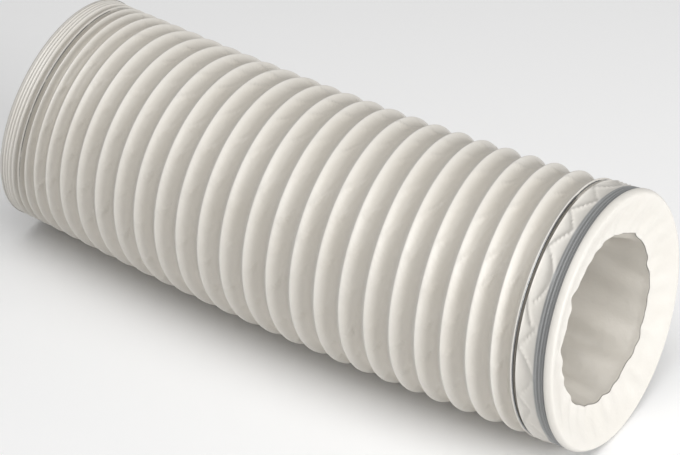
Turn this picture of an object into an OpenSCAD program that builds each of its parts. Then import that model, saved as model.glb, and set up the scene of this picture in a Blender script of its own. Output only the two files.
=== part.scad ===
// Flexible round duct: a thin film tube carried by one helix of spring wire.
// It lies on its side, bowed a little in the floor's plane. X runs along it,
// with the open near end at +X, and the far end's turns pushed close together.

/* [Duct] */
// Radius over the outside of the wire ridges
outer_r = 52.5; // [45:0.5:60]
// Length from end to end, as the duct lies
duct_length = 279; // [230:1:380]
// How far the ends stand to the side of the middle
bow = 7.5; // [0:0.1:9]
// How much further the near end stands to the side than the far end, halved
bow_bias = 1.1; // [0:0.1:3]

/* [Lean of the turns] */
// Dip of the turns' axis along the middle, in degrees
middle_dip = -0.5; // [-2:0.1:2]
// Sideways turn of their axis along the middle, in degrees
middle_turn = 0.6; // [-2:0.1:2]
// Further dip at the far end, in degrees
far_dip = -8.5; // [-10:0.5:4]
// Further sideways turn at the far end, in degrees
far_turn = 9.5; // [-4:0.5:10]
// Further dip at the near end, in degrees
near_dip = 7; // [-4:0.5:8]
// Further sideways turn at the near end, in degrees
near_turn = -7.5; // [-9:0.5:4]

/* [Spring wire] */
// Thickness of the wire
wire_d = 1.2; // [1:0.1:1.5]
// Number of turns lying side by side at each end
end_turns = 3; // [2:1:4]
// Number of turns over which the far end's crowding eases off
crowded_turns = 7; // [5:1:10]
// Pitch of the most crowded turns
crowded_pitch = 3; // [2.8:0.1:4]
// Pitch of the open turns, before the last fraction of a turn is shared out
open_pitch = 11.2; // [9:0.1:13]
// Pitch of the two pinched turns near the open end
pinched_pitch = 2.6; // [2.4:0.1:4]

/* [Film] */
// Thickness of the film
film_t = 0.25; // [0.2:0.05:0.3]
// Depth of the film's valleys between open turns
valley_depth = 4.2; // [1:0.1:5]
// Width of the plain film between the pinched turns and the near end's turns
plain_band = 9; // [6:0.5:14]
// How far the far end's bore, which slips over a pipe collar, lies inside the ridges
bore_inset = 2.5; // [2.3:0.1:4]
// Depth of the hem folded in at the far end
hem_depth = 5.2; // [4.5:0.1:5.5]
// Radius of the mouth that the turned-in film leaves at the near end
mouth_r = 35; // [25:1:40]
// How far the mouth sits inside the near end
mouth_set = 5; // [3:0.5:10]
// Length of the film tail tucked in behind the mouth
tail_length = 42; // [20:1:60]
// Radius at the end of the tucked tail
tail_r = 30; // [20:1:38]

/* [Hidden] */

// Facets round the duct and round the wire
sides = 22;
wire_sides = 4;
// Film clears the wire all round by this much
wire_fit = 0.06;
// Turns lying side by side are this far apart
turn_gap = 0.15;
// The film's crest over each turn is this much wider than the wire, each way
crest_spare = 0.1;
// A valley is no deeper than this share of its half width
fold_slope = 0.8;
// Step in the film where its helix starts and ends, less than its thickness
seam_depth = film_t / 2;
// The ends' lean fades toward the middle with this power of the distance
lean_power = 4;

half_length = duct_length / 2;
wire_r = wire_d / 2;
wire_path_r = outer_r - film_t - wire_fit - wire_r;
side_pitch = wire_d + turn_gap;
crest_half = wire_r + crest_spare;

// Far end's hem: the fold is a half circle from the outside to the lining.
// The lining starts a little inside the bore, which then cuts it truly round.
bore_r = outer_r - bore_inset;
bore_cut = 0.3;
lining_r = bore_r - bore_cut;
lining_back_r = wire_path_r - wire_r - turn_gap;
fold_r = (outer_r - lining_r) / 2;
far_rim = fold_r + 2 * wire_fit;
// Near end's rim: film puffed over the last turn, then turned in
rim_r = 1.6;
near_rim = rim_r + 1;

// End bands, where turns lie side by side. The duct is straight over them and
// over the next turn, and square to its own turns there.
far_band = far_rim + end_turns * side_pitch;
near_band = near_rim + end_turns * side_pitch;
far_zone = far_band + crowded_pitch;
near_zone = near_band + crest_half;

// Gaps between one turn and the next, from the far end to the near end
ease_start = 0.25;
crowded_gaps = [for (k = [0 : crowded_turns - 1])
    crowded_pitch + (open_pitch - crowded_pitch) * sin(90 * (k + ease_start) / crowded_turns)];
side_gaps = [for (k = [1 : end_turns]) side_pitch];
function total(list, k = 0) = k < len(list) ? list[k] + total(list, k + 1) : 0;
open_length = duct_length - far_band - near_band - total(crowded_gaps) - pinched_pitch - plain_band;
open_turns = max(1, round(open_length / open_pitch));
open_gaps = [for (k = [1 : open_turns]) open_length / open_turns];
gaps = concat(side_gaps, crowded_gaps, open_gaps, [pinched_pitch, plain_band], side_gaps);
turns = len(gaps);
turn_x = [for (k = 0, x = far_rim - half_length; k <= turns; x = x + (k < turns ? gaps[k] : 0), k = k + 1) x];

// The wire crosses the plain band on the back of the duct, between these
// shares of the turn counted from the top
cross_from = 0.45;
cross_to = 0.95;
band_turn = turns - end_turns - 1;
wire_route = [for (k = [0 : turns]) each k == band_turn
    ? [[k, turn_x[k]], [k + cross_from, turn_x[k]], [k + cross_to, turn_x[k + 1]]]
    : [[k, turn_x[k]]]];
// Place along the duct of the wire after so many turns
function wire_x(turn) = lookup(turn, wire_route);

// Axis of the duct: a shallow curve in plan, straight in both end bands
function within(x) = min(max(x, far_zone - half_length), half_length - near_zone);
function plan_y(x) = let (t = x / half_length) bow * t * t + bow_bias * t * t * t;
function heading(x) = let (t = x / half_length)
    atan((2 * bow * t + 3 * bow_bias * t * t) / half_length);
function lean(x, middle, far, near) = x < 0
    ? middle + far * pow(x / (far_zone - half_length), lean_power)
    : middle + near * pow(x / (half_length - near_zone), lean_power);
function dip(x) = lean(x, middle_dip, far_dip, near_dip);
function turn_to(x) = heading(x) + lean(x, middle_turn, far_turn, near_turn);

// Directions of the turn at x: along the axis, to the left and up
function along_axis(x) = let (d = dip(x), h = turn_to(x)) [cos(h) * cos(d), sin(h) * cos(d), sin(d)];
function to_left(x) = let (h = turn_to(x)) [-sin(h), cos(h), 0];

// The whole duct is moved so that its box is centred over the origin
far_axis = along_axis(within(-half_length));
near_axis = along_axis(within(half_length));
function reach(axis) = outer_r * sqrt(1 - axis.x * axis.x);
middle_x = (reach(near_axis) - reach(far_axis)) / 2;
middle_y = (bow + bow_bias) / 2;

// Point at an angle from the top, at radius r. Each turn rests on the floor.
function at(x, angle, r, ahead = 0) = let (
    s = within(x),
    axis = along_axis(s),
    left = to_left(s),
    up = cross(axis, left),
    lift = outer_r * cos(dip(s)) + crest_half * abs(sin(dip(s))),
    centre = [s - middle_x, plan_y(s) - middle_y, lift])
    centre + (x - s + ahead) * axis + r * (cos(angle) * up - sin(angle) * left);

// One flat ring of film, and one ring that follows the wire's helix
function ring(x, r) = [for (i = [0 : sides - 1]) at(x, 360 * i / sides, r)];

// Depth of the valley between turns that are so far apart. It fades in over
// the first crowded turn and out over the last turn before the plain band.
function valley(gap, turn) = let (
    open_depth = min(valley_depth, fold_slope * (gap / 2 - crest_half)),
    share = min(1, turn - end_turns, band_turn - turn))
    seam_depth + (open_depth - seam_depth) * share;

// Rows of the helical film in each pitch: before a turn's crest, after it and
// in the valley beyond. inset is 0 outside and film_t inside.
rows_per_turn = 3;
function film_point(row, step, inset) = let (
    turn = end_turns + floor(row / rows_per_turn) + step / sides,
    part = row % rows_per_turn,
    x0 = wire_x(turn),
    x1 = wire_x(turn + 1),
    angle = 360 * step / sides)
    part == 0 ? at(x0, angle, outer_r - inset, -crest_half)
    : part == 1 ? at(x0, angle, outer_r - inset, crest_half)
    : at((x0 + x1) / 2, angle, outer_r - inset - valley(x1 - x0, turn));

// The film's two faces, as flat rings, helical rows and flat rings again.
// Face 0 is out in the air and face 1 is toward the wire.
fold_steps = [-90, -45, 0, 45, 90];
function fold_back(a) = (a + 90) / 180 * (lining_back_r - lining_r - film_t) + fold_r - lining_back_r + lining_r;
function far_profile(face) = concat(
    [[hem_depth - half_length, face == 0 ? lining_r : lining_back_r]],
    [for (a = fold_steps) let (r = face == 0 ? fold_r : fold_back(a))
        [fold_r - half_length - r * cos(a), outer_r - fold_r + r * sin(a)]],
    [[far_band - half_length - crest_half - crest_spare, outer_r - face * film_t]]);

band_end = turn_x[band_turn + 1] + crest_half + crest_spare;
rim_steps = [90, 45, 0, -45];
function near_profile(face) = concat(
    [[band_end, outer_r - face * film_t]],
    [for (a = rim_steps) let (r = rim_r - face * film_t)
        [half_length - rim_r + r * cos(a), outer_r - rim_r + r * sin(a)]],
    [[half_length - mouth_set - face * film_t, mouth_r + face * film_t],
     [half_length - mouth_set - tail_length, tail_r + face * film_t]]);

strip_rows = rows_per_turn * (band_turn - end_turns) + 2;
far_rings = len(far_profile(0));
near_rings = len(near_profile(0));

// Points of one face. The helical rows need the start of one more turn.
function face_points(face) = concat(
    [for (p = far_profile(face)) each ring(p[0], p[1])],
    [for (row = [0 : strip_rows - 1]) each
        [for (i = [0 : sides - 1]) film_point(row, i, face * film_t)]],
    [for (row = [strip_rows : strip_rows + rows_per_turn - 1]) film_point(row, 0, face * film_t)],
    [for (p = near_profile(face)) each ring(p[0], p[1])]);

// Where each stretch starts in the list of points
strip_start = far_rings * sides;
near_start = strip_start + strip_rows * sides + rows_per_turn;
face_size = near_start + near_rings * sides;

function ring_i(start, k, i) = start + k * sides + i % sides;
// A helical row runs on into the row one turn further along
function strip_i(row, i) = let (full = i < sides, k = full ? row : row + rows_per_turn)
    k < strip_rows ? strip_start + k * sides + (full ? i : 0)
    : strip_start + strip_rows * sides + k - strip_rows;

function quad(a, b, c, d) = [[a, b, c], [a, c, d]];
function between_rings(start, count) = [for (k = [0 : count - 2], i = [0 : sides - 1]) each
    quad(ring_i(start, k, i), ring_i(start, k + 1, i), ring_i(start, k + 1, i + 1), ring_i(start, k, i + 1))];
// Faces of one side of the sheet. The helix starts and ends with a step of
// one pitch, closed by a small fan at the top of the duct.
skin_faces = concat(
    between_rings(0, far_rings),
    [for (i = [0 : sides - 1]) each quad(ring_i(0, far_rings - 1, i), strip_i(0, i),
        strip_i(0, i + 1), ring_i(0, far_rings - 1, i + 1))],
    [for (k = [0 : rows_per_turn - 1]) [ring_i(0, far_rings - 1, 0), strip_i(k + 1, 0), strip_i(k, 0)]],
    [for (row = [0 : strip_rows - 2], i = [0 : sides - 1]) each
        quad(strip_i(row, i), strip_i(row + 1, i), strip_i(row + 1, i + 1), strip_i(row, i + 1))],
    [for (k = [0 : rows_per_turn - 1])
        [ring_i(near_start, 0, 0), strip_i(strip_rows - 1 + k, 0), strip_i(strip_rows + k, 0)]],
    [for (i = [0 : sides - 1]) each quad(strip_i(strip_rows - 1, i), ring_i(near_start, 0, i),
        ring_i(near_start, 0, i + 1), strip_i(strip_rows - 1, i + 1))],
    between_rings(near_start, near_rings));

function turned(faces) = [for (f = faces) [f[0] + face_size, f[2] + face_size, f[1] + face_size]];
// The sheet's two free edges, at the hem and at the tail
function edge(start) = [for (i = [0 : sides - 1]) let (a = start + i, b = start + (i + 1) % sides)
    each quad(a, b, b + face_size, a + face_size)];
function edge_back(start) = [for (f = edge(start)) [f[0], f[2], f[1]]];

module film_sleeve() {
    color([0.86, 0.85, 0.82])
    difference() {
        polyhedron(
            points = concat(face_points(0), face_points(1)),
            faces = concat(skin_faces, turned(skin_faces), edge(0),
                edge_back(near_start + (near_rings - 1) * sides)));
        far_bore();
    }
}

// True round bore through the far end's hem. It is turned about its own axis
// so that its seam falls inside a facet of the hem.
module far_bore() {
    spare = 1;
    square = within(-half_length);
    translate(at(-half_length - spare, 0, 0))
        rotate([0, 90 - dip(square), turn_to(square)])
            rotate(90 / sides)
                cylinder(r = bore_r, h = hem_depth + 2 * spare, $fn = 96);
}

// Spring wire: one helix, its square-cut ends lying in the end bands
wire_steps = turns * sides;
function wire_ring(step) = let (x = wire_x(step / sides), angle = 360 * step / sides)
    [for (k = [0 : wire_sides - 1]) let (a = 360 * k / wire_sides)
        at(x, angle, wire_path_r + wire_r * cos(a), wire_r * sin(a))];

module wire_helix() {
    function i(step, k) = step * wire_sides + k % wire_sides;
    color([0.62, 0.63, 0.64])
    polyhedron(
        points = [for (step = [0 : wire_steps]) each wire_ring(step)],
        faces = concat(
            [for (step = [0 : wire_steps - 1], k = [0 : wire_sides - 1]) each
                quad(i(step, k), i(step, k + 1), i(step + 1, k + 1), i(step + 1, k))],
            [[for (k = [wire_sides - 1 : -1 : 0]) i(0, k)]],
            [[for (k = [0 : wire_sides - 1]) i(wire_steps, k)]]));
}

film_sleeve();
wire_helix();
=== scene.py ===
"""Looks of the flexible round duct: creased PVC film over one helix of spring wire.

The duct lies on its side along X, with the open near end at +X. Its film is worked out in
millimetres as one surface of two parameters, the turn of the wire's helix and the share of
the way to the next turn, and is then cut into pieces along the wire's own ridges.
"""

import logging
from dataclasses import dataclass
from enum import Enum

import bpy
import numpy as np
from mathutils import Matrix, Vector

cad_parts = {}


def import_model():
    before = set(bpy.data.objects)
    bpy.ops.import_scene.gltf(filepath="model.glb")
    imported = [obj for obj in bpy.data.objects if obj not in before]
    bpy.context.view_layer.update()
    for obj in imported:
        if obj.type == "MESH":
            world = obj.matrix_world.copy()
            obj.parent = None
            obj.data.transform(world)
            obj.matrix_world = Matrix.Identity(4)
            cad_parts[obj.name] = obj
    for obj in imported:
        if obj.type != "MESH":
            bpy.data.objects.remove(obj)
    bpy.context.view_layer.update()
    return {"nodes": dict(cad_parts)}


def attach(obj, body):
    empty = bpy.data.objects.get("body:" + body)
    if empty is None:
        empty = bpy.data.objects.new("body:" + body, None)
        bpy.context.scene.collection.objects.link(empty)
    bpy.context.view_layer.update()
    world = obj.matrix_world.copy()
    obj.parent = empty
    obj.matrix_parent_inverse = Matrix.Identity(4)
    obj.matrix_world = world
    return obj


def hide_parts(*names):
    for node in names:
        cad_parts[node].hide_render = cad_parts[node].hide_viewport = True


LOG = logging.getLogger("duct")
MM = 0.001


class Layer(Enum):
    """Names of the point attributes of the film's pieces. The finish reads wire_shows, and reads valley as painted
    shade in the valleys; fold is not read.
    """

    WIRE_SHOWS = "wire_shows"
    # share of a valley's depth, which the film's finish paints as shade
    VALLEY_SHADE = "valley"
    FOLD = "fold"


def smooth_step(value: np.ndarray, low: float, high: float) -> np.ndarray:
    """Smooth step: 0 below low, 1 above high, and 3t^2 - 2t^3 of the share t between them."""
    t = np.clip((value - low) / (high - low), 0.0, 1.0)
    return t * t * (3.0 - 2.0 * t)


def unit(vectors: np.ndarray) -> np.ndarray:
    """Vectors along the last axis, scaled to length 1."""
    length = np.linalg.norm(vectors, axis=-1, keepdims=True)
    return vectors / np.maximum(length, 1e-12)


@dataclass(frozen=True)
class DuctForm:
    """Axis of the duct, lean of its turns and places of the wire's turns, in millimetres."""

    outer_r: float = 52.5
    length: float = 279.0
    bow: float = 7.5
    bow_bias: float = 1.1
    middle_dip: float = -0.5
    middle_turn: float = 0.6
    far_dip: float = -8.5
    far_turn: float = 9.5
    near_dip: float = 7.0
    near_turn: float = -7.5
    lean_power: float = 4.0
    wire_d: float = 1.2
    film_t: float = 0.25
    wire_fit: float = 0.06
    turn_gap: float = 0.15
    crest_spare: float = 0.1
    end_turns: int = 3
    crowded_turns: int = 7
    crowded_pitch: float = 3.0
    ease_start: float = 0.25
    open_pitch: float = 11.2
    pinched_pitch: float = 2.6
    plain_band: float = 9.0
    bore_inset: float = 2.5
    rim_r: float = 1.6
    cross_from: float = 0.45
    cross_to: float = 0.95

    @property
    def half(self) -> float:
        """Half the duct's length."""
        return self.length / 2.0

    @property
    def side_pitch(self) -> float:
        """Pitch of turns that lie side by side."""
        return self.wire_d + self.turn_gap

    @property
    def crest_half(self) -> float:
        """Half the width of the film's crest over a turn."""
        return self.wire_d / 2.0 + self.crest_spare

    @property
    def wire_path_r(self) -> float:
        """Radius of the wire's centre line."""
        return self.outer_r - self.film_t - self.wire_fit - self.wire_d / 2.0

    @property
    def far_rim(self) -> float:
        """Distance from the far end to the first turn."""
        return (self.bore_inset + 0.3) / 2.0 + 2.0 * self.wire_fit

    @property
    def near_rim(self) -> float:
        """Distance from the last turn to the near end."""
        return self.rim_r + 1.0

    @property
    def straight_from(self) -> float:
        """Place where the far end's straight stretch stops."""
        far_band = self.far_rim + self.end_turns * self.side_pitch
        return far_band + self.crowded_pitch - self.half

    @property
    def straight_to(self) -> float:
        """Place where the near end's straight stretch starts."""
        near_band = self.near_rim + self.end_turns * self.side_pitch
        return self.half - near_band - self.crest_half

    def turn_places(self) -> np.ndarray:
        """Place along the axis of each whole turn, counted from the far end."""
        side = [self.side_pitch] * self.end_turns
        count = np.arange(self.crowded_turns)
        eased = np.sin(np.pi / 2.0 * (count + self.ease_start) / self.crowded_turns)
        crowded = self.crowded_pitch + (self.open_pitch - self.crowded_pitch) * eased
        bands = self.far_rim + self.near_rim + 2 * self.end_turns * self.side_pitch
        open_length = self.length - bands - crowded.sum() - self.pinched_pitch - self.plain_band
        open_turns = int(round(open_length / self.open_pitch))
        opened = [open_length / open_turns] * open_turns
        gaps = np.concatenate([side, crowded, opened, [self.pinched_pitch, self.plain_band], side])
        return self.far_rim - self.half + np.concatenate([[0.0], np.cumsum(gaps)])

    @property
    def turns(self) -> int:
        """Whole turns of the wire."""
        return len(self.turn_places()) - 1

    @property
    def band_turn(self) -> int:
        """Turn at which the plain band before the near end starts."""
        return self.turns - self.end_turns - 1

    def wire_x(self, turn: np.ndarray) -> np.ndarray:
        """Place along the axis of the wire after so many turns.

        It runs straight from one whole turn to the next. Over the plain band it stays at its
        turn, crosses the band behind the duct, and stays at the next turn.

        Args:
            turn: turns counted from the far end, as an array.

        Returns:
            Places in millimetres, of the same shape.
        """
        places = self.turn_places()
        whole = np.arange(len(places), dtype=float)
        k = self.band_turn
        whole = np.insert(whole, k + 1, [k + self.cross_from, k + self.cross_to])
        drift = self.cross_from * self.pinched_pitch * 0.5
        places = np.insert(places, k + 1, [places[k] + drift, places[k + 1]])
        return np.interp(turn, whole, places)

    def within(self, x: np.ndarray) -> np.ndarray:
        """x, held between the two straight stretches."""
        return np.clip(x, self.straight_from, self.straight_to)

    def lean(self, s: np.ndarray, middle: float, far: float, near: float) -> np.ndarray:
        """Middle angle, plus each end's angle times the share of the way there to lean_power."""
        to_far = far * np.abs(s / self.straight_from) ** self.lean_power
        to_near = near * np.abs(s / self.straight_to) ** self.lean_power
        return middle + np.where(s < 0, to_far, to_near)

    def directions(self, s: np.ndarray) -> tuple[np.ndarray, np.ndarray, np.ndarray]:
        """Axis, left and up directions of the turns at s.

        The axis is [cos h cos d, sin h cos d, sin d] of the turn h and the dip d.

        Args:
            s: places along the axis, inside the straight stretches.

        Returns:
            Three arrays of unit vectors, with the vector on the last axis.
        """
        t = s / self.half
        heading = np.arctan((2 * self.bow * t + 3 * self.bow_bias * t * t) / self.half)
        h = heading + np.radians(self.lean(s, self.middle_turn, self.far_turn, self.near_turn))
        d = np.radians(self.lean(s, self.middle_dip, self.far_dip, self.near_dip))
        axis = np.stack([np.cos(h) * np.cos(d), np.sin(h) * np.cos(d), np.sin(d)], axis=-1)
        left = np.stack([-np.sin(h), np.cos(h), np.zeros_like(h)], axis=-1)
        return axis, left, np.cross(axis, left)

    def shift(self) -> tuple[float, float]:
        """How far the duct is moved back in X and Y so that its box is centred."""
        ends = np.array([self.straight_from, self.straight_to])
        axis = self.directions(ends)[0]
        reach = self.outer_r * np.sqrt(1.0 - axis[:, 0] ** 2)
        return (reach[1] - reach[0]) / 2.0, (self.bow + self.bow_bias) / 2.0

    def centre(self, s: np.ndarray) -> np.ndarray:
        """Centre of the turn at s: y = bow t^2 + bow_bias t^3, and each turn rests on the floor."""
        t = s / self.half
        d = np.radians(self.lean(s, self.middle_dip, self.far_dip, self.near_dip))
        dx, dy = self.shift()
        y = self.bow * t * t + self.bow_bias * t * t * t - dy
        z = self.outer_r * np.cos(d) + self.crest_half * np.abs(np.sin(d))
        return np.stack([s - dx, y, z], axis=-1)

    def place(self, x: np.ndarray, angle: np.ndarray, radius: np.ndarray) -> np.ndarray:
        """Points of the duct in space.

        A point is the turn's centre, plus what x lies past it along the axis, plus radius times
        cos(angle) up and sin(angle) to the right, with the angle counted from the top.

        Args:
            x: places along the axis, in millimetres.
            angle: angles from the top in radians, positive toward -Y.
            radius: distances from the axis, in millimetres.

        Returns:
            Points in millimetres, with the point on the last axis.
        """
        x, angle, radius = np.broadcast_arrays(x, angle, radius)
        s = self.within(x)
        axis, left, up = self.directions(s)
        out = np.cos(angle)[..., None] * up - np.sin(angle)[..., None] * left
        return self.centre(s) + (x - s)[..., None] * axis + radius[..., None] * out


@dataclass(frozen=True)
class Sheet:
    """A surface as points, its own normals, quads and named point values."""

    points: np.ndarray
    normals: np.ndarray
    quads: np.ndarray
    layers: dict


def open_edges(quads: np.ndarray) -> np.ndarray:
    """Directed edges of the quads that no other quad shares, as pairs of point numbers."""
    edges = np.concatenate([quads[:, [k, (k + 1) % 4]] for k in range(4)])
    size = int(quads.max()) + 1
    forward = edges[:, 0].astype(np.int64) * size + edges[:, 1]
    backward = edges[:, 1].astype(np.int64) * size + edges[:, 0]
    return edges[~np.isin(forward, backward)]


def build_sheet(name: str, sheet: Sheet, inward: np.ndarray, material: bpy.types.Material) -> bpy.types.Object:
    """Makes a closed thin shell from a surface.

    The inner face is the surface moved by inward, with its faces turned round, and a rim of
    quads joins the two along every open edge. The surface's own normals shade both faces, so
    that neighbouring pieces of one film show no seam.

    Args:
        name: the piece's name.
        sheet: the outer surface, in millimetres.
        inward: for each point, the step to the inner face, in millimetres.
        material: the piece's finish.

    Returns:
        The new object, at the origin.
    """
    count = len(sheet.points)
    rim = open_edges(sheet.quads)
    rim_quads = np.stack([rim[:, 1], rim[:, 0], rim[:, 0] + count, rim[:, 1] + count], axis=1)
    quads = np.concatenate([sheet.quads, sheet.quads[:, ::-1] + count, rim_quads])
    points = np.concatenate([sheet.points, sheet.points + inward]) * MM
    normals = np.concatenate([sheet.normals, -sheet.normals])
    mesh = bpy.data.meshes.new(name)
    mesh.vertices.add(len(points))
    mesh.vertices.foreach_set("co", points.astype(np.float32).ravel())
    mesh.loops.add(quads.size)
    mesh.loops.foreach_set("vertex_index", quads.astype(np.int32).ravel())
    mesh.polygons.add(len(quads))
    mesh.polygons.foreach_set("loop_start", np.arange(0, quads.size, 4, dtype=np.int32))
    mesh.update(calc_edges=True)
    mesh.shade_smooth()
    mesh.normals_split_custom_set_from_vertices(normals.astype(np.float32))
    for layer, values in sheet.layers.items():
        attribute = mesh.attributes.new(layer.value, "FLOAT", "POINT")
        attribute.data.foreach_set("value", np.concatenate([values, values]).astype(np.float32))
    mesh.materials.append(material)
    piece = bpy.data.objects.new(name, mesh)
    bpy.context.scene.collection.objects.link(piece)
    LOG.info("%s: %d faces", name, len(quads))
    return piece


@dataclass(frozen=True)
class Creases:
    """Diagonal folds of the film in each valley, laid out along the wire's helix."""

    per_turn: float = 17.6
    sweep_deg: float = 27.0
    sweep_power: float = 1.7
    knuckle_height: float = 0.85
    line_height: float = 0.30
    fine_height: float = 0.13
    full_gap: float = 10.5
    seed: int = 11

    def height(self, turn: np.ndarray, share: np.ndarray, gap: np.ndarray, form: DuctForm) -> np.ndarray:
        """Height of the folds over the plain valley.

        Each fold starts at a knuckle beside the ridge on its far side, and runs up to the next
        ridge along angle = start - sweep * share ^ sweep_power. Across it the film climbs
        slowly and falls steeply: exp(-(u / width)^2) with one width on either side.

        Args:
            turn: turns of the helix.
            share: share of the way to the next turn.
            gap: width of the valley in millimetres.
            form: the duct's form.

        Returns:
            Heights in millimetres.
        """
        rng = np.random.default_rng(self.seed)
        count = int(np.ceil((form.turns + 3) * self.per_turn))
        start = (np.arange(count) + rng.uniform(-0.22, 0.22, count)) / self.per_turn - 1.5
        strength = rng.uniform(0.45, 1.15, count)
        knuckle_at = rng.uniform(0.18, 0.34, count)
        sweep = self.sweep_deg / 360.0 * rng.uniform(0.75, 1.25, count)
        fine_shift = rng.uniform(0.25, 0.75, count)
        around = 2.0 * np.pi * form.outer_r
        height = np.zeros_like(turn)
        nearest = np.round((turn + 1.5) * self.per_turn).astype(int)
        for step in range(-2, 4):
            k = np.clip(nearest + step, 0, count - 1)
            line = start[k] - sweep[k] * share ** self.sweep_power
            u = (turn - line) * around * 0.55
            at = knuckle_at[k]
            knuckle = np.exp(-((share - at) / 0.13) ** 2)
            run = smooth_step(share, 0.05, 0.3) * (1.0 - smooth_step(share, 0.72, 1.0))
            wide = np.where(u < 0, 1.9 - 0.8 * knuckle, 0.55)
            size = strength[k] * (self.knuckle_height * knuckle + self.line_height * run)
            height += size * np.exp(-(u / wide) ** 2)
            v = u + fine_shift[k] * around / self.per_turn * 0.55
            late = smooth_step(share, 0.3, 0.55) * (1.0 - smooth_step(share, 0.8, 1.0))
            height += self.fine_height * late * np.exp(-(v / np.where(v < 0, 0.9, 0.4)) ** 2)
        edge = smooth_step(share, 0.0, 0.1) * (1.0 - smooth_step(share, 0.9, 1.0))
        return height * edge * np.clip(gap / self.full_gap, 0.0, 1.0)


@dataclass(frozen=True)
class Stretch:
    """One piece of the film over the wire, from one turn of the helix to another."""

    name: str
    first: float
    last: float
    rows: int


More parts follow.
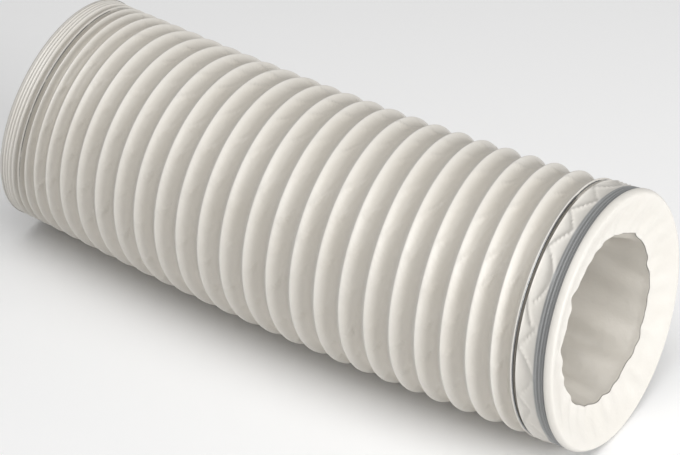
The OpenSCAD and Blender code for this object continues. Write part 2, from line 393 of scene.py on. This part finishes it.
@dataclass(frozen=True)
class FilmOverWire:
    """The film from the far end's first turn to the near end's last turn."""

    form: DuctForm
    creases: Creases
    columns: int = 200
    valley_depth: float = 3.2
    valley_slope: float = 0.62
    valley_power: float = 2.3
    side_depth: float = 0.38
    crest_r: float = 0.75
    pinch_depth: float = 3.6
    band_depth: float = 0.55
    band_folds: float = 17.0
    band_height: float = 0.75
    least_gap: float = 0.03

    def stretches(self) -> list[Stretch]:
        """Pieces of the film, each cut where the seam lies underneath."""
        band = self.form.band_turn
        return [
            Stretch("film_far_turns", -1.0, 5.5, 12),
            Stretch("film_turns_a", 5.5, 13.5, 22),
            Stretch("film_turns_b", 13.5, 20.5, 22),
            Stretch("film_turns_c", 20.5, band - 0.5, 22),
            Stretch("film_near_band", band - 0.5, float(self.form.turns), 22),
        ]

    def shares(self, rows: int) -> np.ndarray:
        """Shares of the way to the next turn, closer together beside the ridges."""
        t = np.linspace(0.0, 1.0, rows + 1)
        return t - 0.115 * np.sin(4.0 * np.pi * t) / 2.0 - 0.02 * np.sin(2.0 * np.pi * t)

    def gap(self, turn: np.ndarray) -> tuple[np.ndarray, np.ndarray]:
        """Place of the ridge at a turn, and width of the valley beyond it."""
        x0 = self.form.wire_x(turn)
        x1 = self.form.wire_x(turn + 1.0)
        return x0, np.maximum(x1 - x0, self.least_gap)

    def band_share(self, turn: np.ndarray, gap: np.ndarray) -> np.ndarray:
        """1 where the valley is the plain band before the near end, and 0 elsewhere."""
        return smooth_step(gap, 3.5, 7.0) * (turn > self.form.band_turn - 0.7)

    def band_relief(self, turn: np.ndarray, share: np.ndarray) -> np.ndarray:
        """Buckles of the plain band.

        Flat three-cornered dents point from one edge and from the other in turn: the height
        is that of a zigzag line's distance, |v - zigzag(u)|, and each dent has its own size.
        """
        rng = np.random.default_rng(5)
        count = int(self.band_folds)
        lift = rng.uniform(0.55, 1.2, count)
        nudge = rng.uniform(-0.28, 0.28, count)
        u = (turn % 1.0) * count
        k = np.floor(u).astype(int) % count
        w = u - np.floor(u) + nudge[k] * share * (1 - share) * 4
        zig = np.abs(2.0 * np.clip(w, 0, 1) - 1.0)
        line = 0.12 + 0.76 * zig
        d = share - line
        sharp = np.exp(-np.abs(d) / 0.10)
        return lift[k] * self.band_height * (sharp - 0.45 * smooth_step(-d, 0.0, 0.5))

    def radius(self, turn: np.ndarray, share: np.ndarray) -> tuple[np.ndarray, np.ndarray, np.ndarray]:
        """Radius of the film, the valley's depth and the height of its folds.

        Beside a ridge the distance d to it counts as sqrt(d^2 + c^2) - c, which rounds the
        film over the wire. With t the share that this gives, a valley's depth is its greatest
        depth times 1 - |2t - 1| ^ valley_power.
        """
        gap = self.gap(turn)[1]
        c = self.crest_r
        near = np.sqrt((share * gap) ** 2 + c * c) - c
        away = np.sqrt(((1.0 - share) * gap) ** 2 + c * c) - c
        t = near / np.maximum(near + away, 1e-9)
        bowl = 1.0 - np.abs(2.0 * t - 1.0) ** self.valley_power
        side = 1.0 - smooth_step(gap, 1.5, 3.2)
        depth = np.minimum(self.valley_depth, self.valley_slope * gap)
        depth = depth * (1.0 - side) + self.side_depth * gap * side
        pinched = (turn > self.form.band_turn - 1.0) * (turn < self.form.band_turn) * (gap < 3.5)
        depth = np.where(pinched, self.pinch_depth * np.clip(gap / self.form.pinched_pitch, 0.55, 1.0), depth)
        band = self.band_share(turn, gap)
        depth = depth * (1.0 - band) + self.band_depth * band
        folds = self.creases.height(turn, share, gap, self.form) * (1.0 - band) * (gap > 2.8)
        edge = smooth_step(share, 0.0, 0.08) * (1.0 - smooth_step(share, 0.92, 1.0))
        folds = folds + self.band_relief(turn, share) * band * edge
        return self.form.outer_r - depth * bowl + folds, depth * bowl, folds

    def surface(self, turn: np.ndarray, share: np.ndarray) -> tuple[np.ndarray, dict]:
        """Points of the film and its named values, in millimetres."""
        x0, gap = self.gap(turn)
        radius, depth, folds = self.radius(turn, share)
        x = x0 + share * gap
        points = self.form.place(x, 2.0 * np.pi * turn, radius)
        first_side = self.form.turn_places()[-1 - self.form.end_turns]
        shows = smooth_step(x, first_side - 0.9, first_side - 0.3)
        layers = {
            Layer.WIRE_SHOWS: shows,
            # share of the valley's depth, used as painted shade in the valleys
            Layer.VALLEY_SHADE: np.clip(depth / self.valley_depth, 0.0, 1.0),
            Layer.FOLD: folds,
        }
        return points, layers

    def sheet(self, stretch: Stretch) -> tuple[Sheet, np.ndarray]:
        """One stretch of the film as a surface, and the step to its inner face.

        Columns follow the helix and rows the share of the way to the next turn. The last row
        of one turn is the first row of the next, so it is numbered there. A ridge's normal is
        the mean of its two sides', also where the next turn belongs to another piece.
        """
        rows = stretch.rows
        steps = int(round((stretch.last - stretch.first) * self.columns))
        j = np.arange(-1, steps + 2)
        turn = stretch.first + j / self.columns
        share = self.shares(rows)
        grid_turn, grid_share = np.meshgrid(turn, share, indexing="ij")
        points, layers = self.surface(grid_turn, grid_share)
        normals = self.grid_normals(points, grid_turn)
        before = self.ridge_side(turn - 1.0, share)
        beyond = self.ridge_side(turn + 1.0, share, at_start=True)
        normals[:, 0] = unit(normals[:, 0] + before)
        normals[:, -1] = unit(normals[:, -1] + beyond)
        outward = self.outward(grid_turn, points)
        keep = slice(1, -1)
        numbers = self.numbers(steps, rows)
        order = numbers.ravel()
        size = int(order.max()) + 1
        flat = {k: self.scatter(v[keep].reshape(-1, 1), order, size)[:, 0] for k, v in layers.items()}
        quads = np.stack([numbers[:-1, :-1], numbers[1:, :-1], numbers[1:, 1:], numbers[:-1, 1:]], axis=-1)
        sheet = Sheet(
            self.scatter(points[keep].reshape(-1, 3), order, size),
            self.scatter(normals[keep].reshape(-1, 3), order, size),
            quads.reshape(-1, 4),
            flat,
        )
        inward = -self.form.film_t * self.scatter(outward[keep].reshape(-1, 3), order, size)
        return sheet, inward

    def numbers(self, steps: int, rows: int) -> np.ndarray:
        """Point numbers of the grid, with each turn's last row numbered as the next one's first."""
        i = np.arange(rows + 1)
        j = np.arange(steps + 1)
        numbers = j[:, None] * rows + i[None, :]
        spare = (steps + 1) * rows
        last = np.where(j + self.columns <= steps, (j + self.columns) * rows, 0)
        missing = j + self.columns > steps
        last[missing] = spare + np.arange(missing.sum())
        numbers[:, rows] = last
        return numbers

    @staticmethod
    def scatter(values: np.ndarray, order: np.ndarray, size: int) -> np.ndarray:
        """Values by point number. Points numbered twice have equal values."""
        result = np.zeros((size, values.shape[1]))
        result[order] = values
        return result

    def outward(self, turn: np.ndarray, points: np.ndarray) -> np.ndarray:
        """Unit vectors from the duct's axis to the points."""
        x0, _ = self.gap(turn)
        s = self.form.within(x0)
        axis, left, up = self.form.directions(s)
        angle = 2.0 * np.pi * turn
        return np.cos(angle)[..., None] * up - np.sin(angle)[..., None] * left

    def grid_normals(self, points: np.ndarray, turn: np.ndarray) -> np.ndarray:
        """Normals of the grid: along the helix crossed with along the duct, turned outwards."""
        along_helix = np.gradient(points, axis=0)
        along_duct = np.gradient(points, axis=1)
        normals = np.cross(along_duct, along_helix)
        flip = np.sum(normals * self.outward(turn, points), axis=-1, keepdims=True) < 0
        return unit(np.where(flip, -normals, normals))

    def ridge_side(self, turn: np.ndarray, share: np.ndarray, at_start: bool = False) -> np.ndarray:
        """Normals of the neighbouring valley at the ridge that it shares with this one."""
        rows = share[:3] if at_start else share[-3:]
        grid_turn, grid_share = np.meshgrid(turn, rows, indexing="ij")
        points = self.surface(grid_turn, grid_share)[0]
        return self.grid_normals(points, grid_turn)[:, 0 if at_start else -1]

    def build(self, material: bpy.types.Material) -> list[bpy.types.Object]:
        """Makes the film's stretches."""
        pieces = []
        for stretch in self.stretches():
            sheet, inward = self.sheet(stretch)
            pieces.append(build_sheet(stretch.name, sheet, inward, material))
        return pieces


def ring_sheet(points: np.ndarray, layers: dict) -> Sheet:
    """A surface from closed rings of points.

    Args:
        points: array of rings by columns by 3, in millimetres. The last column joins the first.
        layers: named values of the same rings and columns.

    Returns:
        The surface, with normals from the grid's two directions.
    """
    rings, columns = points.shape[:2]
    around = np.roll(points, -1, axis=1) - np.roll(points, 1, axis=1)
    along = np.gradient(points, axis=0)
    normals = unit(np.cross(along, around))
    numbers = np.arange(rings * columns).reshape(rings, columns)
    beside = np.roll(numbers, -1, axis=1)
    quads = np.stack([numbers[:-1], numbers[1:], beside[1:], beside[:-1]], axis=-1)
    flat = {k: np.broadcast_to(v, (rings, columns)).ravel() for k, v in layers.items()}
    return Sheet(points.reshape(-1, 3), normals.reshape(-1, 3), quads.reshape(-1, 4), flat)


def spread(path: np.ndarray, count: int) -> np.ndarray:
    """count points spread evenly along a path of points, by its length."""
    lengths = np.concatenate([[0.0], np.cumsum(np.linalg.norm(np.diff(path, axis=0), axis=1))])
    at = np.linspace(0.0, lengths[-1], count)
    return np.stack([np.interp(at, lengths, path[:, k]) for k in range(path.shape[1])], axis=-1)


@dataclass(frozen=True)
class NearMouth:
    """The film beyond the last turn: puffed rim, turned-in face, mouth and tucked tail."""

    form: DuctForm
    columns: int = 520
    face_rings: int = 52
    tail_rings: int = 46
    mouth_r: float = 35.0
    mouth_set: float = 5.0
    tail_length: float = 42.0
    tail_r: float = 30.0
    seed: int = 3

    def noise(self, angle: np.ndarray, depth: np.ndarray, seed: int, waves: tuple) -> np.ndarray:
        """Soft periodic unevenness: a sum of cosines of whole waves round and random ones along."""
        rng = np.random.default_rng(seed)
        total = np.zeros(np.broadcast(angle, depth).shape)
        for k in waves:
            phase = rng.uniform(0, 2 * np.pi)
            along = rng.uniform(-1.0, 1.0) * 5.0
            total += np.cos(k * angle + along * depth + phase) * rng.uniform(0.5, 1.0)
        return total / len(waves)

    def face(self) -> Sheet:
        """The puffed rim and the face down to the mouth's edge."""
        f = self.form
        angle = np.linspace(0.0, 2.0 * np.pi, self.columns, endpoint=False)[None, :]
        last_x = f.turn_places()[-1]
        t = np.linspace(0.0, 1.0, self.face_rings)[:, None]
        mouth = self.mouth_r * (1 + 0.05 * self.noise(angle, 0 * angle, 1, (2, 3, 5, 8, 13, 21)))
        bulge_from = f.outer_r
        x_path = last_x + (f.half - last_x) * np.sin(np.clip(t / 0.14, 0, 1) * np.pi / 2)
        x = x_path - self.mouth_set * smooth_step(t, 0.1, 1.0)
        r = bulge_from + (mouth - bulge_from) * np.clip((t - 0.02) / 0.98, 0, 1) ** 1.15
        wrinkle = self.noise(angle, t, 9, (9, 11, 14, 17, 23, 31))
        x = x + wrinkle * 1.1 * smooth_step(t, 0.12, 0.6)
        points = f.place(x, angle, r)
        return ring_sheet(points, {Layer.WIRE_SHOWS: 0 * r, Layer.VALLEY_SHADE: 0 * r, Layer.FOLD: wrinkle})

    def tail(self) -> Sheet:
        """The film that is tucked in behind the mouth."""
        f = self.form
        angle = np.linspace(0.0, 2.0 * np.pi, self.columns, endpoint=False)[None, :]
        t = np.linspace(0.0, 1.0, self.tail_rings)[:, None]
        mouth = self.mouth_r * (1 + 0.05 * self.noise(angle, 0 * angle, 1, (2, 3, 5, 8, 13, 21)))
        wrinkle = self.noise(angle, t * 0.5, 21, (3, 5, 7, 9, 12, 16))
        edge = self.noise(angle, 1 + 0 * angle, 9, (9, 11, 14, 17, 23, 31)) * 1.1
        x = f.half - self.mouth_set - self.tail_length * t + edge * (1 - smooth_step(t, 0, 0.3))
        r = mouth + (self.tail_r - mouth) * t + wrinkle * 4.0 * smooth_step(t, 0.0, 0.4)
        points = f.place(x, angle, r)
        # painted shade: the tucked tail gets 0.6 of a full valley's darkening
        return ring_sheet(points, {Layer.WIRE_SHOWS: 0 * r, Layer.VALLEY_SHADE: 0.6 + 0 * r, Layer.FOLD: wrinkle})

    def build(self, material: bpy.types.Material) -> list[bpy.types.Object]:
        """Makes the face and the tail."""
        pieces = []
        for name, sheet in (("film_near_face", self.face()), ("film_tucked_tail", self.tail())):
            pieces.append(build_sheet(name, sheet, -self.form.film_t * sheet.normals, material))
        return pieces


@dataclass(frozen=True)
class FarHem:
    """The far end's hem, folded in round a half circle and lying along the bore."""

    form: DuctForm
    columns: int = 200
    rings: int = 22
    hem_depth: float = 5.2

    def build(self, material: bpy.types.Material) -> bpy.types.Object:
        """Makes the hem: a short straight lining, a half circle and the step to the first turn."""
        f = self.form
        bore_r = f.outer_r - f.bore_inset
        fold_r = (f.outer_r - bore_r) / 2.0
        turn = np.linspace(-np.pi / 2, np.pi / 2, 13)
        arc = np.stack([fold_r - f.half - fold_r * np.cos(turn), f.outer_r - fold_r + fold_r * np.sin(turn)], axis=-1)
        path = np.concatenate([[[self.hem_depth - f.half, bore_r]], arc, [[f.turn_places()[0], f.outer_r]]])
        profile = spread(path, self.rings)
        angle = np.linspace(0.0, 2.0 * np.pi, self.columns, endpoint=False)[None, :]
        points = f.place(profile[:, :1], angle, profile[:, 1:])
        zero = np.zeros(points.shape[:2])
        sheet = ring_sheet(points, {Layer.WIRE_SHOWS: zero, Layer.VALLEY_SHADE: zero, Layer.FOLD: zero})
        return build_sheet("film_far_hem", sheet, -f.film_t * sheet.normals, material)


@dataclass(frozen=True)
class SpringWire:
    """The one helix of round spring wire under the film."""

    form: DuctForm
    steps_per_turn: int = 96
    sides: int = 10

    def build(self, material: bpy.types.Material) -> bpy.types.Object:
        """Sweeps a circle along the helix: centre line radius plus r cos a, place plus r sin a."""
        f = self.form
        steps = f.turns * self.steps_per_turn
        turn = np.linspace(0.0, float(f.turns), steps + 1)[:, None]
        a = np.linspace(0.0, 2.0 * np.pi, self.sides, endpoint=False)[None, :]
        wire_r = f.wire_d / 2.0
        x = f.wire_x(turn) + wire_r * np.sin(a)
        x_centre = np.broadcast_to(f.wire_x(turn), x.shape)
        radius = f.wire_path_r + wire_r * np.cos(a)
        base = f.place(x_centre, 2.0 * np.pi * turn + 0 * a, radius)
        axis = f.directions(f.within(x_centre))[0]
        points = base + (x - x_centre)[..., None] * axis
        numbers = np.arange(points.shape[0] * self.sides).reshape(-1, self.sides)
        beside = np.roll(numbers, -1, axis=1)
        quads = np.stack([numbers[:-1], beside[:-1], beside[1:], numbers[1:]], axis=-1).reshape(-1, 4)
        faces = quads.tolist() + [numbers[0][::-1].tolist(), numbers[-1].tolist()]
        mesh = bpy.data.meshes.new("spring_wire")
        mesh.from_pydata((points.reshape(-1, 3) * MM).tolist(), [], faces)
        mesh.shade_smooth()
        mesh.materials.append(material)
        piece = bpy.data.objects.new("spring_wire", mesh)
        bpy.context.scene.collection.objects.link(piece)
        LOG.info("spring_wire: %d faces", len(faces))
        return piece


def linear(colour: str) -> tuple[float, float, float, float]:
    """An sRGB hex colour as linear red, green, blue and alpha."""
    parts = [int(colour[k:k + 2], 16) / 255.0 for k in (1, 3, 5)]
    light = [c / 12.92 if c <= 0.04045 else ((c + 0.055) / 1.055) ** 2.4 for c in parts]
    return (light[0], light[1], light[2], 1.0)


def add(tree: bpy.types.NodeTree, kind: str, links: dict | None = None, **settings: object) -> bpy.types.Node:
    """Adds a node.

    Args:
        tree: the node tree.
        kind: the node's type name.
        links: what goes into each input, a socket or a constant, by the input's name or number.
        settings: properties of the node.

    Returns:
        The node.
    """
    node = tree.nodes.new(kind)
    for name, value in settings.items():
        setattr(node, name, value)
    for name, value in (links or {}).items():
        if isinstance(value, bpy.types.NodeSocket):
            tree.links.new(value, node.inputs[name])
        else:
            node.inputs[name].default_value = value
    return node


@dataclass(frozen=True)
class FilmFinish:
    """Plasticised PVC film, calendered: soft off-white, faint sheen, a fine matt grain, and painted shade in its
    valleys and on the tucked tail.
    """

    film: str = "#d6d3cd"
    # darker colour, used both for random mottle and for painted shade in the valleys
    film_mottled_and_shaded: str = "#c9c2b6"
    wire_grey: str = "#8f9090"
    roughness: float = 0.46
    ior: float = 1.52
    grain_mm: float = 0.6
    ripple_mm: float = 3.5

    def build(self) -> bpy.types.Material:
        """Makes the film's material."""
        material = bpy.data.materials.new("plasticised PVC film, calendered")
        material.use_nodes = True
        tree = material.node_tree
        tree.nodes.clear()
        where = add(tree, "ShaderNodeTexCoord").outputs["Object"]
        valley = add(tree, "ShaderNodeAttribute", attribute_name=Layer.VALLEY_SHADE.value).outputs["Fac"]
        shows = add(tree, "ShaderNodeAttribute", attribute_name=Layer.WIRE_SHOWS.value).outputs["Fac"]
        cloud = add(tree, "ShaderNodeTexNoise", {"Vector": where, "Scale": 1.0 / (18 * MM), "Detail": 3.0})
        # mix factor: 0.55 of the valley's depth as painted shade, plus 0.3 of a random cloud as mottle
        mottle_and_shade = add(tree, "ShaderNodeMath", {0: valley, 1: 0.55}, operation="MULTIPLY")
        mottle_and_shade = add(tree, "ShaderNodeMath", {0: cloud.outputs["Fac"], 1: 0.3, 2: mottle_and_shade.outputs[0]},
                   operation="MULTIPLY_ADD")
        deep = add(tree, "ShaderNodeMix", {"Factor": mottle_and_shade.outputs[0], "A": linear(self.film),
                                           "B": linear(self.film_mottled_and_shaded)}, data_type="RGBA")
        grey = add(tree, "ShaderNodeMix", {"Factor": shows, "A": deep.outputs["Result"],
                                           "B": linear(self.wire_grey)}, data_type="RGBA")
        ripple = add(tree, "ShaderNodeTexNoise", {"Vector": where, "Scale": 1.0 / (self.ripple_mm * MM), "Detail": 4.0})
        grain = add(tree, "ShaderNodeTexNoise", {"Vector": where, "Scale": 1.0 / (self.grain_mm * MM), "Detail": 2.0})
        soft = add(tree, "ShaderNodeBump", {"Height": ripple.outputs["Fac"], "Strength": 0.35, "Distance": 0.6 * MM})
        fine = add(tree, "ShaderNodeBump", {"Height": grain.outputs["Fac"], "Strength": 0.12, "Distance": 0.1 * MM,
                                            "Normal": soft.outputs["Normal"]})
        surface = add(tree, "ShaderNodeBsdfPrincipled", {
            "Base Color": grey.outputs["Result"], "Roughness": self.roughness, "IOR": self.ior,
            "Normal": fine.outputs["Normal"]})
        add(tree, "ShaderNodeOutputMaterial", {"Surface": surface.outputs["BSDF"]})
        return material


@dataclass(frozen=True)
class WireFinish:
    """Drawn spring steel wire: grey metal with fine marks along its length."""

    steel: str = "#9a9b9c"
    roughness: float = 0.38

    def build(self) -> bpy.types.Material:
        """Makes the wire's material."""
        material = bpy.data.materials.new("spring steel wire, drawn")
        material.use_nodes = True
        tree = material.node_tree
        tree.nodes.clear()
        where = add(tree, "ShaderNodeTexCoord").outputs["Object"]
        marks = add(tree, "ShaderNodeTexNoise", {"Vector": where, "Scale": 1.0 / (0.8 * MM), "Detail": 3.0})
        rough = add(tree, "ShaderNodeMapRange", {"Value": marks.outputs["Fac"], "To Min": self.roughness - 0.08,
                                                 "To Max": self.roughness + 0.12})
        surface = add(tree, "ShaderNodeBsdfPrincipled", {
            "Base Color": linear(self.steel), "Metallic": 1.0, "Roughness": rough.outputs["Result"]})
        add(tree, "ShaderNodeOutputMaterial", {"Surface": surface.outputs["BSDF"]})
        return material


@dataclass(frozen=True)
class Studio:
    """Camera at the photograph's angle, pale floor and soft lights."""

    form: DuctForm
    photo_width: float = 680.0
    photo_height: float = 455.0
    focal_px: float = 1944.5
    distance: float = 814.8
    elevation_deg: float = 34.36
    azimuth_deg: float = 35.75
    centre_px: tuple[float, float] = (313.64, 216.82)
    target_z: float = 51.0
    sensor: float = 36.0

    def camera(self) -> None:
        """Places the camera: back from the target by its azimuth from -Y and its elevation."""
        dx, dy = self.form.shift()
        e, a = np.radians(self.elevation_deg), np.radians(self.azimuth_deg)
        back = np.array([np.sin(a) * np.cos(e), -np.cos(a) * np.cos(e), np.sin(e)])
        target = np.array([-dx, -dy, self.target_z])
        data = bpy.data.cameras.new("camera")
        data.sensor_width = self.sensor
        data.lens = self.focal_px * self.sensor / self.photo_width
        data.shift_x = (self.photo_width / 2.0 - self.centre_px[0]) / self.photo_width
        data.shift_y = (self.centre_px[1] - self.photo_height / 2.0) / self.photo_width
        data.clip_start = 0.05
        data.clip_end = 50.0
        camera = bpy.data.objects.new("camera", data)
        camera.location = Vector((target + self.distance * back) * MM)
        camera.rotation_euler = Vector(back).to_track_quat("Z", "Y").to_euler()
        bpy.context.scene.collection.objects.link(camera)
        bpy.context.scene.camera = camera

    def area(self, name: str, where: tuple, toward: tuple, size: float, power: float) -> None:
        """A square area light at a place, facing another, both in metres."""
        data = bpy.data.lights.new(name, "AREA")
        data.shape = "SQUARE"
        data.size = size
        data.energy = power
        light = bpy.data.objects.new(name, data)
        light.location = Vector(where)
        light.rotation_euler = (Vector(where) - Vector(toward)).to_track_quat("Z", "Y").to_euler()
        bpy.context.scene.collection.objects.link(light)

    def floor(self) -> None:
        """A wide white floor, which isn't part of the duct."""
        mesh = bpy.data.meshes.new("floor")
        reach = 6.0
        corners = [(-reach, -reach, 0.0), (reach, -reach, 0.0), (reach, reach, 0.0), (-reach, reach, 0.0)]
        mesh.from_pydata(corners, [], [(0, 1, 2, 3)])
        material = bpy.data.materials.new("white studio paper")
        material.use_nodes = True
        shader = material.node_tree.nodes["Principled BSDF"]
        shader.inputs["Base Color"].default_value = linear("#fafafa")
        shader.inputs["Roughness"].default_value = 0.9
        mesh.materials.append(material)
        floor = bpy.data.objects.new("floor", mesh)
        bpy.context.scene.collection.objects.link(floor)

    def build(self) -> None:
        """Makes the camera, the lights, the floor and the surrounding light."""
        self.camera()
        self.floor()
        self.area("overhead", (0.25, -0.45, 1.5), (0.0, 0.0, 0.05), 1.2, 13.0)
        self.area("near_side", (1.5, -0.15, 0.5), (0.1, 0.0, 0.05), 0.7, 17.0)
        world = bpy.data.worlds.new("studio")
        world.use_nodes = True
        world.node_tree.nodes["Background"].inputs["Color"].default_value = (1.0, 1.0, 1.0, 1.0)
        world.node_tree.nodes["Background"].inputs["Strength"].default_value = 0.3
        bpy.context.scene.world = world
        bpy.context.scene.view_settings.view_transform = "Standard"


def main() -> None:
    """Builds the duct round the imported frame, piece by piece."""
    logging.basicConfig(level=logging.INFO, format="%(name)s: %(message)s")
    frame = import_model()
    LOG.info("frame has %s", ", ".join(sorted(frame["nodes"])))
    form = DuctForm()
    film = FilmFinish().build()
    steel = WireFinish().build()
    pieces = FilmOverWire(form, Creases()).build(film)
    pieces += NearMouth(form).build(film)
    pieces.append(FarHem(form).build(film))
    for piece in pieces:
        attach(piece, "root")
        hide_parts("film_sleeve")
    wire = SpringWire(form).build(steel)
    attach(wire, "root")
    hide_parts("wire_helix")
    Studio(form).build()


if __name__ == "__main__":
    main()
